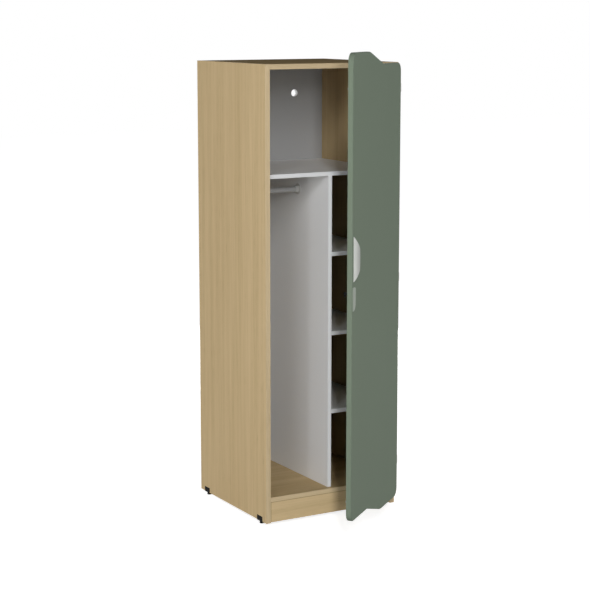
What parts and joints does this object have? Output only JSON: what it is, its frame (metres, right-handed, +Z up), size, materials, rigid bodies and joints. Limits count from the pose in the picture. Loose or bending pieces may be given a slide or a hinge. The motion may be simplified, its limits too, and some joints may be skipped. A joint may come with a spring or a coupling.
{
  "type": "single-door wardrobe",
  "caption": "Free-standing wardrobe with a stepped hinged door, hat shelf, hanging rail and cubbies in an oak-faced carcass on levelling feet.",
  "frame": {"origin": "on the floor, under the middle of the box round the wardrobe with its door as at rest", "axes": "+X across the front towards the hinges, +Y from the front to the back, +Z up"},
  "size_m": [0.6036, 0.975, 1.862],
  "materials": {
    "oak_board": "satin oak veneer",
    "oak_edging": "satin oak edging",
    "white_board": "satin white melamine",
    "white_edging": "satin",
    "door_paint": "satin sage paint",
    "handle_metal": "satin",
    "lock_metal": "satin nickel",
    "rail_metal": "satin",
    "hinge_metal": "satin nickel",
    "fastener_steel": "zinc",
    "blackened_steel": "blackened",
    "black_plastic": "matte",
    "buffer_rubber": "matte",
    "dowel_wood": "raw beech"
  },
  "bodies": {
    "carcass": {"back_panel": "white_board", "back_panel_screws": "fastener_steel", "cam_bolts": "fastener_steel", "cam_discs": "fastener_steel", "cubby_shelf_1": "white_board", "cubby_shelf_2": "white_board", "cubby_shelf_3": "white_board", "divider_panel": "white_board", "floor_edging": "oak_edging", "floor_panel": "oak_board", "hanging_rail": "rail_metal", "hat_shelf": "white_board", "hinge_carcass_screws": "fastener_steel", "hinge_fixed_leaf_lower": "hinge_metal", "hinge_fixed_leaf_middle": "hinge_metal", "hinge_fixed_leaf_upper": "hinge_metal", "hinge_pin_lower": "hinge_metal", "hinge_pin_middle": "hinge_metal", "hinge_pin_upper": "hinge_metal", "left_edging": "oak_edging", "left_side_panel": "oak_board", "leveller_block_front_left": "black_plastic", "leveller_block_front_right": "black_plastic", "leveller_block_rear_left": "black_plastic", "leveller_block_rear_right": "black_plastic", "leveller_block_screws": "fastener_steel", "plinth_board": "oak_board", "rail_socket_divider": "rail_metal", "rail_socket_left": "rail_metal", "rail_socket_screws": "fastener_steel", "right_edging": "oak_edging", "right_side_panel": "oak_board", "shelf_pins": "fastener_steel", "strike_plate": "fastener_steel", "strike_screws": "fastener_steel", "top_edging": "oak_edging", "top_panel": "oak_board", "white_edging": "white_edging", "wood_dowels": "dowel_wood"},
    "door": {"door_panel": "door_paint", "door_handle": "handle_metal", "handle_screws": "fastener_steel", "lock_plate": "lock_metal", "lock_sleeve": "lock_metal", "lock_nut": "blackened_steel", "hinge_door_screws": "fastener_steel", "door_buffers": "buffer_rubber", "hinge_door_leaf_lower": "hinge_metal", "hinge_door_leaf_middle": "hinge_metal", "hinge_door_leaf_upper": "hinge_metal"},
    "lock": {"lock_barrel": "lock_metal", "lock_cam": "blackened_steel", "cam_screw": "blackened_steel"},
    "front_left_foot": {"foot_front_left": "black_plastic"},
    "front_right_foot": {"foot_front_right": "black_plastic"},
    "rear_left_foot": {"foot_rear_left": "black_plastic"},
    "rear_right_foot": {"foot_rear_right": "black_plastic"}
  },
  "joints": [
    {"name": "door_swing", "type": "hinge", "parent": "carcass", "child": "door", "pos_m": [0.29525, -0.10247, 0.956], "axis": [0, 0, 1], "range_deg": [-39.5, 130.5]},
    {"name": "lock_turn", "type": "hinge", "parent": "door", "child": "lock", "pos_m": [-0.14458, -0.46504, 0.976], "axis": [-0.6361, 0.7716, 0], "range_deg": [0, 90]},
    {"name": "front_left_foot_height", "type": "slide", "parent": "carcass", "child": "front_left_foot", "axis": [0, 0, -1], "range_m": [0, 0.012]},
    {"name": "front_right_foot_height", "type": "slide", "parent": "carcass", "child": "front_right_foot", "axis": [0, 0, -1], "range_m": [0, 0.012]},
    {"name": "rear_left_foot_height", "type": "slide", "parent": "carcass", "child": "rear_left_foot", "axis": [0, 0, -1], "range_m": [0, 0.012]},
    {"name": "rear_right_foot_height", "type": "slide", "parent": "carcass", "child": "rear_right_foot", "axis": [0, 0, -1], "range_m": [0, 0.012]}
  ]
}
